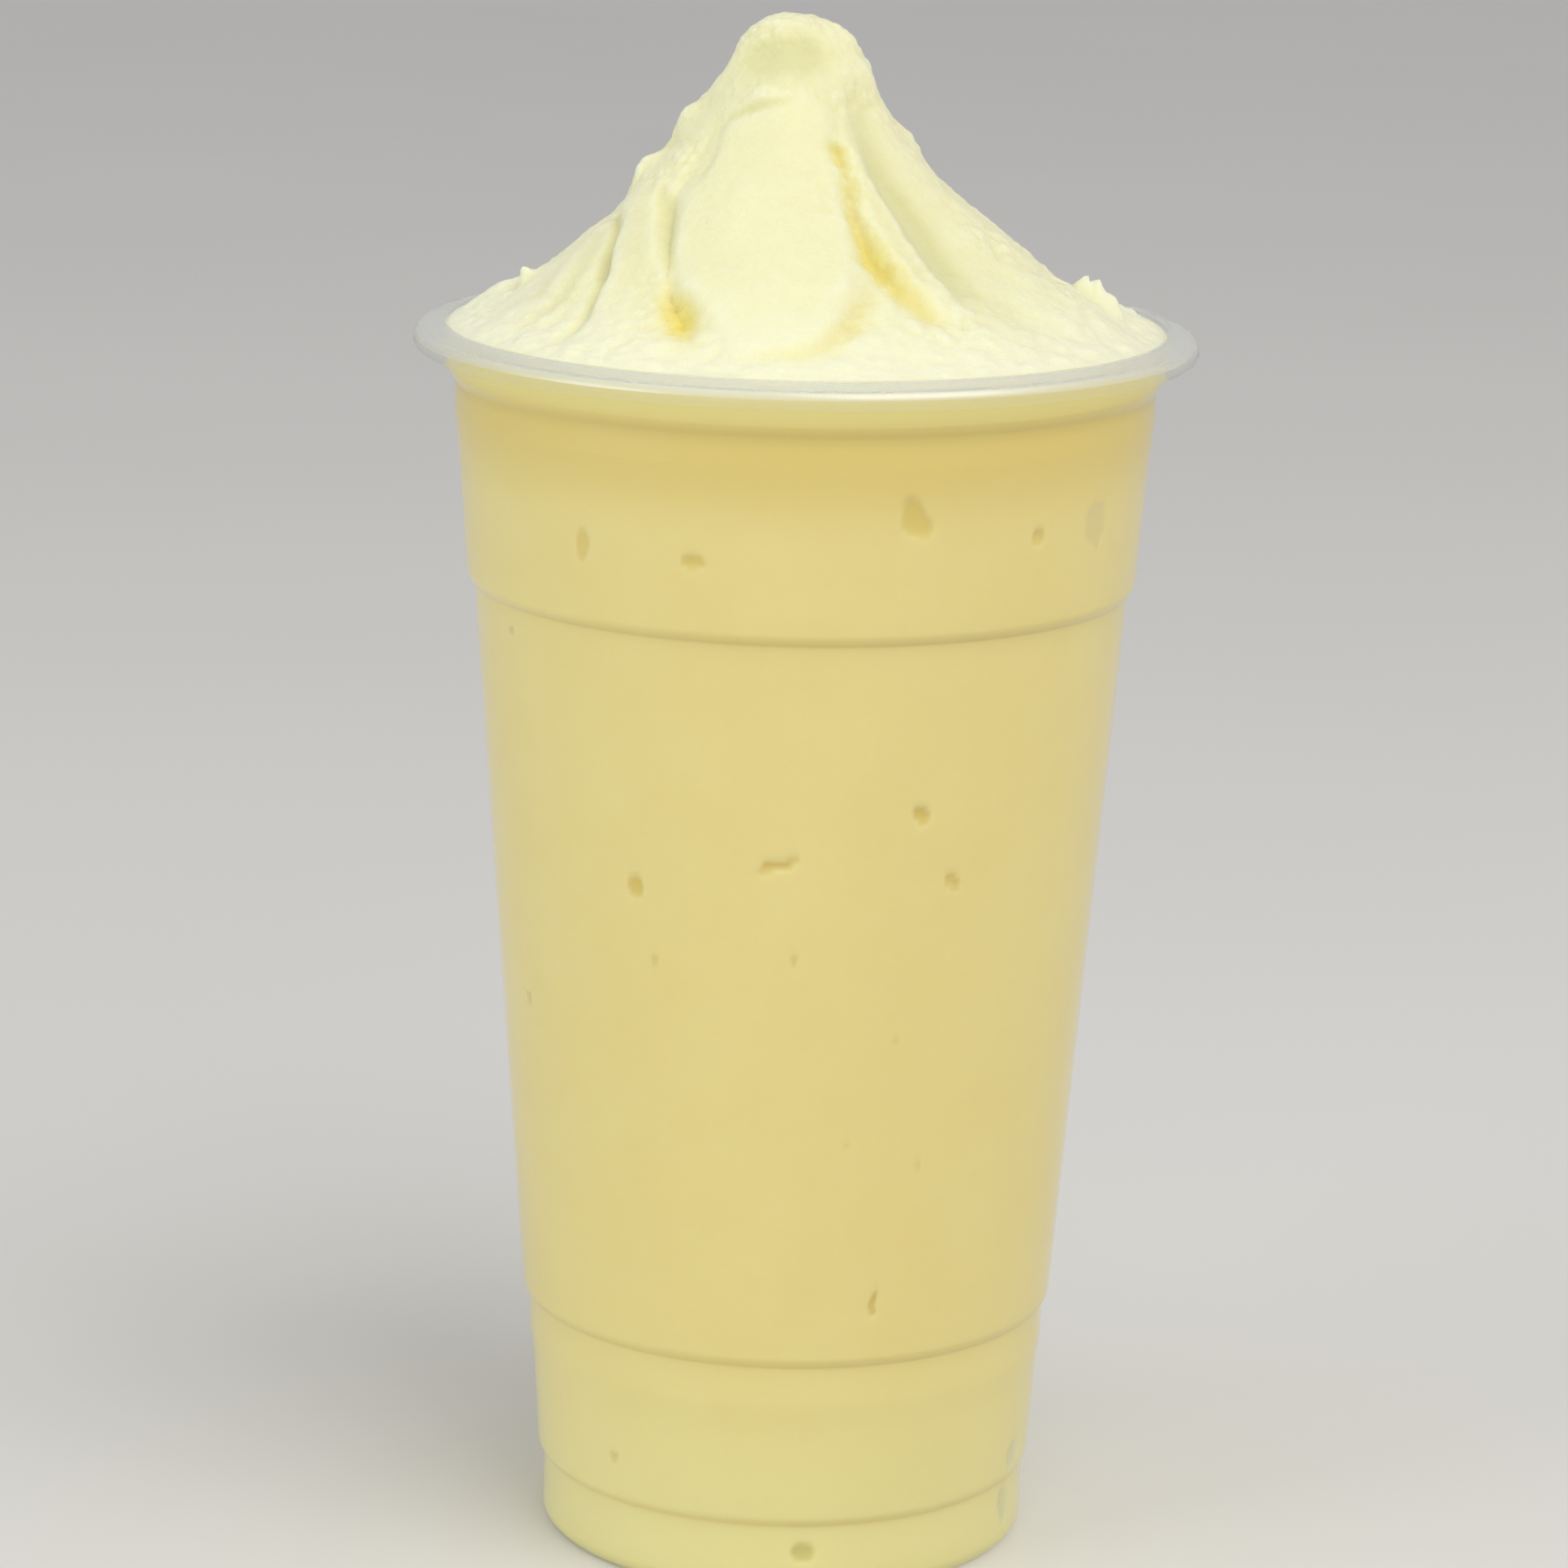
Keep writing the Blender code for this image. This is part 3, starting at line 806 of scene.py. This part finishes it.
def smoothie_mesh():
    """The drink up to the lip and the heap above it, as one closed mesh.

    Also returns five shares from 0 to 1 for each vertex: how deep it lies in a groove or pocket,
    how deep in a crease, how far it stands above its surroundings, how far out it lies on the
    apron round the heap, and how near it is to the lip.
    """
    sheet = rounded_outline(SHEET_CORNERS + (RIM_CORNER,), DRINK_ARC_STEPS)
    drink = divided_outline(offset_outline(sheet, SHEET - INTO_WALL), DRINK_STEP)
    rim = drink[-1]
    mesh = turned(drink + heap_outline(rim))
    mesh.edges.index_update()
    divide_at_pockets(mesh)
    rim_level = (rim.y - JUST_OVER) * MM
    heap_edges = [edge for edge in mesh.edges if min(vert.co.z for vert in edge.verts) > rim_level]
    bmesh.ops.subdivide_edges(mesh, edges=heap_edges, cuts=1, use_grid_fill=True)
    bmesh.ops.recalc_face_normals(mesh, faces=mesh.faces)

    # Where each vertex lies: on the heap, how near to the lip and how far out on the apron
    places, normals = vertex_arrays(mesh)
    radius = np.hypot(places[:, 0], places[:, 1])
    heap = places[:, 2] > rim.y + JUST_OVER
    fade = smooth_step((rim.x - radius) / RIM_FADE) * heap
    apron = smooth_step((radius - APRON_STARTS) / (rim.x - APRON_STARTS)) * heap
    places[:, 0] += LEAN * smooth_step((places[:, 2] - rim.y) / LEAN_RISE)

    # Folds, grooves, bumps and clumps on the heap, and the dents of the air pockets
    skin = places[heap]
    laid = wandering(skin)
    tall = {name: fold_height(laid, *fold) for name, fold in FOLDS.items()}
    tongue = np.minimum(tall["front tongue"] / TONGUE_FULL, 1.0)
    height = np.max(list(tall.values()), axis=0)
    groove = np.max([groove_depth(laid, path) for path in GROOVES.values()], axis=0)
    crease = np.max([groove_depth(laid, path) for path in CREASES.values()], axis=0)
    height -= np.maximum(groove, crease)
    height += sum(bump_height(laid, bump) for bump in BUMPS)
    height += sum(far * unevenness(skin, size) for size, far in UNEVEN)
    calm = np.max([TONGUE_CALM * tongue] + [bump_height(skin, spot) for spot in CALM_PLACES], axis=0)
    patchy = smooth_step(unevenness(skin, ROUGH_SIZE) + ROUGH_SHIFT)
    rough = (ROUGH_LEAST + (1.0 - ROUGH_LEAST) * patchy) * (1.0 - calm)
    clumped = np.maximum(HEAP_CLUMPED * rough, APRON_CLUMPED * apron[heap] * (1.0 - calm))
    height += sum(far * clumps(skin, size) for size, far in CLUMPS) * clumped
    places[heap] += normals[heap] * (height * fade[heap])[:, None]
    dent = pocket_dents(places) * (~heap & (radius > WALL_STARTS))
    places -= normals * dent[:, None]
    move_vertices(mesh, places)

    # Frosty grain on top of those forms
    places, normals = vertex_arrays(mesh)
    skin = places[heap]
    grain = sum(far * (crumbly(skin, size) - 0.5) for size, far in GRAINS) * rough
    places[heap] += normals[heap] * (grain * fade[heap])[:, None]
    move_vertices(mesh, places)

    # What the colour goes by
    places, normals = vertex_arrays(mesh)
    above = ((places - evened(mesh, places, EVENED_TIMES)) * normals).sum(axis=1)
    raised = np.where(heap, np.clip(0.5 + above / RAISED_SPAN, 0.0, 1.0), 0.5)
    hollow = np.minimum(POCKET_SHADE * dent / POCKET_DEEP, 1.0)
    hollow[heap] = np.clip(groove / DEEP_GROOVE, 0.0, 1.0) * fade[heap]
    crease_shade = np.zeros(len(places))
    crease_shade[heap] = np.clip(crease / DEEP_CREASE, 0.0, 1.0) * fade[heap]
    border = heap * (1.0 - fade)
    shares = {"hollow": hollow, "crease_shade": crease_shade, "raised": raised, "apron": apron, "border": border}
    return mesh, shares


def blended(tree, share, first, second):
    """A colour that goes from the first to the second as the share goes from 0 to 1."""
    node = shader_node(tree, "ShaderNodeMix", {0: share, 6: first, 7: second}, data_type="RGBA")
    return node.outputs[2]


def level_share(tree, level, levels, easing="SMOOTHSTEP"):
    """A share that goes from 0 at the first of the two levels, in mm, to 1 at the second."""
    node = shader_node(
        tree,
        "ShaderNodeMapRange",
        {"Value": level, "From Min": levels[0] * MM, "From Max": levels[1] * MM},
        interpolation_type=easing,
    )
    return node.outputs["Result"]


def vertex_share(tree, name):
    """One of the shares that smoothie_mesh returns for each vertex."""
    return shader_node(tree, "ShaderNodeAttribute", attribute_name=name).outputs["Fac"]


def ring_shade(tree, level):
    """A share of painted shade that peaks at each step of the wall and fades above and below it."""
    share = shader_node(tree, "ShaderNodeMath", {0: level, 1: CUP_HEIGHT * MM}, operation="DIVIDE")
    lines = shader_node(tree, "ShaderNodeValToRGB", {"Fac": share.outputs["Value"]})
    lines.color_ramp.interpolation = "EASE"
    lines.color_ramp.elements[1].color = (0.0, 0.0, 0.0, 1.0)
    for height, half_width, strength in RING_SHADE_LINES:
        for offset, shade in ((-half_width, 0.0), (0.0, strength), (half_width, 0.0)):
            stop = lines.color_ramp.elements.new((height + offset) / CUP_HEIGHT)
            stop.color = (shade, shade, shade, 1.0)
    return lines.outputs["Color"]


def banana_smoothie():
    """Pale frosty cream on the heap, a deeper, smoother yellow where the wall presses on it, and painted
    light and shade.
    """
    material = bpy.data.materials.new("banana smoothie")
    material.use_nodes = True
    tree = material.node_tree
    place = shader_node(tree, "ShaderNodeTexCoord").outputs["Object"]
    level = shader_node(tree, "ShaderNodeSeparateXYZ", {"Vector": place}).outputs["Z"]
    cloudy = shader_node(
        tree, "ShaderNodeTexNoise", {"Vector": place, "Scale": 90.0, "Detail": 3.0}
    ).outputs["Fac"]
    fine = shader_node(
        tree, "ShaderNodeTexNoise", {"Vector": place, "Scale": 900.0, "Detail": 3.0, "Roughness": 0.7}
    ).outputs["Fac"]
    hollow = vertex_share(tree, "hollow")
    border = vertex_share(tree, "border")
    low = level_share(tree, level, FOOT_LEVELS, "LINEAR")
    above = level_share(tree, level, HEAP_LEVELS)

    plain = blended(tree, cloudy, DRINK_DEEP, DRINK_PALE)
    # Painted bounce light: the drink is paler towards the foot
    foot_bounce_lit = blended(tree, low, plain, FOOT_BOUNCE_DRINK)
    # Painted shade of the lip darkens the neck, then the drink is paler again under the lip
    neck_shaded = blended(tree, level_share(tree, level, NECK_LEVELS), foot_bounce_lit, NECK_SHADE_DRINK)
    under_lip = blended(tree, level_share(tree, level, LIP_LEVELS), neck_shaded, LIP_DRINK)
    # Painted shade along the wall's steps
    ring_shaded = blended(tree, ring_shade(tree, level), under_lip, RING_SHADE_DRINK)
    # Painted shade in the air pockets
    drink = blended(tree, hollow, ring_shaded, blended(tree, low, POCKET_SHADE_DRINK, POCKET_SHADE_FOOT))

    # Painted shade in the low places between the clumps, partly real frost on them
    low_shaded_cream = blended(tree, cloudy, LOW_DEEP, LOW_PALE)
    frost = blended(tree, fine, FROST_DEEP, FROST_PALE)
    cream = blended(tree, vertex_share(tree, "raised"), low_shaded_cream, frost)
    # Painted sky light on the apron
    apron_lit = blended(tree, vertex_share(tree, "apron"), cream, APRON_LIT_CREAM)
    # Painted shade in creases and valleys
    crease_shaded = blended(tree, vertex_share(tree, "crease_shade"), apron_lit, CREASE_SHADE_CREAM)
    # Painted shade and glow in the grooves
    heap = blended(tree, hollow, crease_shaded, GROOVE_SHADE_CREAM)

    colour = blended(tree, above, drink, heap)
    relief = shader_node(tree, "ShaderNodeMath", {0: fine, 1: above}, operation="MULTIPLY")
    bump = shader_node(
        tree,
        "ShaderNodeBump",
        {"Height": relief.outputs["Value"], "Strength": 0.6, "Distance": 0.35 * MM},
    )
    roughness = shader_node(
        tree, "ShaderNodeMapRange", {"Value": border, "To Min": 0.6, "To Max": 0.35}
    ).outputs["Result"]
    smoothie = tree.nodes["Principled BSDF"]
    tree.links.new(colour, smoothie.inputs["Base Color"])
    tree.links.new(roughness, smoothie.inputs["Roughness"])
    tree.links.new(bump.outputs["Normal"], smoothie.inputs["Normal"])
    smoothie.inputs["Metallic"].default_value = 0.0
    smoothie.inputs["IOR"].default_value = 1.36
    smoothie.inputs["Subsurface Weight"].default_value = 0.5
    smoothie.inputs["Subsurface Radius"].default_value = (1.0, 0.85, 0.5)
    smoothie.inputs["Subsurface Scale"].default_value = 2.4 * MM
    smoothie.inputs["Sheen Weight"].default_value = 0.3
    smoothie.inputs["Sheen Roughness"].default_value = 0.4
    return material


heap_mesh, skin_shares = smoothie_mesh()
smoothie = finished("smoothie_body", heap_mesh, banana_smoothie())
for share_name, shares in skin_shares.items():
    layer = smoothie.data.attributes.new(share_name, "FLOAT", "POINT")
    layer.data.foreach_set("value", shares.astype(np.float32))
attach(smoothie, "root")
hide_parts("smoothie")

# The floor, the light and the camera
# A plain pale floor and plain soft light. The camera stands where the photograph was taken from.
FLOOR_HALF = 12.0
CAMERA_PLACE = (0.0, -0.694, 0.2633)
LOOKS_DOWN = 13.413
TURNED_LEFT = 0.1328
ROLLED = 1.2096
LENS = 128.707
SENSOR_WIDTH = 36.0
LAMPS_FACE = (0.0, 0.0, 0.1)


def pale_floor():
    """A matt pale floor with faint patches."""
    material = bpy.data.materials.new("pale floor")
    material.use_nodes = True
    tree = material.node_tree
    place = shader_node(tree, "ShaderNodeTexCoord").outputs["Object"]
    patches = shader_node(
        tree, "ShaderNodeTexNoise", {"Vector": place, "Scale": 6.0, "Detail": 2.0}
    ).outputs["Fac"]
    colour = blended(tree, patches, (0.78, 0.77, 0.75, 1.0), (0.81, 0.80, 0.78, 1.0))
    floor = tree.nodes["Principled BSDF"]
    tree.links.new(colour, floor.inputs["Base Color"])
    floor.inputs["Roughness"].default_value = 0.7
    return material


floor_mesh = bmesh.new()
bmesh.ops.create_grid(floor_mesh, x_segments=1, y_segments=1, size=FLOOR_HALF)
floor = finished("floor", floor_mesh, pale_floor())

studio = bpy.data.worlds.new("studio")
studio.use_nodes = True
studio.node_tree.nodes["Background"].inputs["Color"].default_value = (1.0, 1.0, 1.0, 1.0)
studio.node_tree.nodes["Background"].inputs["Strength"].default_value = 0.5
bpy.context.scene.world = studio


def soft_lamp(name, place, size, power, colour):
    """A square area lamp that faces the cup."""
    data = bpy.data.lights.new(name, "AREA")
    data.size = size
    data.energy = power
    data.color = colour
    lamp = bpy.data.objects.new(name, data)
    bpy.context.collection.objects.link(lamp)
    aim = Vector(LAMPS_FACE) - Vector(place)
    lamp.matrix_world = Matrix.Translation(place) @ aim.to_track_quat("-Z", "Y").to_matrix().to_4x4()


soft_lamp("key lamp", place=(0.47, -0.6, 1.1), size=1.0, power=8.3, colour=(1.0, 0.985, 0.955))
soft_lamp("fill lamp", place=(-1.0, -0.6, 0.42), size=0.7, power=3.6, colour=(0.91, 0.975, 1.0))

camera = bpy.data.objects.new("camera", bpy.data.cameras.new("camera"))
bpy.context.collection.objects.link(camera)
camera.data.sensor_width = SENSOR_WIDTH
camera.data.lens = LENS
camera.matrix_world = (
    Matrix.Translation(CAMERA_PLACE)
    @ Matrix.Rotation(math.radians(TURNED_LEFT), 4, "Z")
    @ Matrix.Rotation(math.radians(90.0 - LOOKS_DOWN), 4, "X")
    @ Matrix.Rotation(math.radians(ROLLED), 4, "Z")
)
bpy.context.scene.camera = camera
bpy.context.scene.view_settings.view_transform = "Standard"
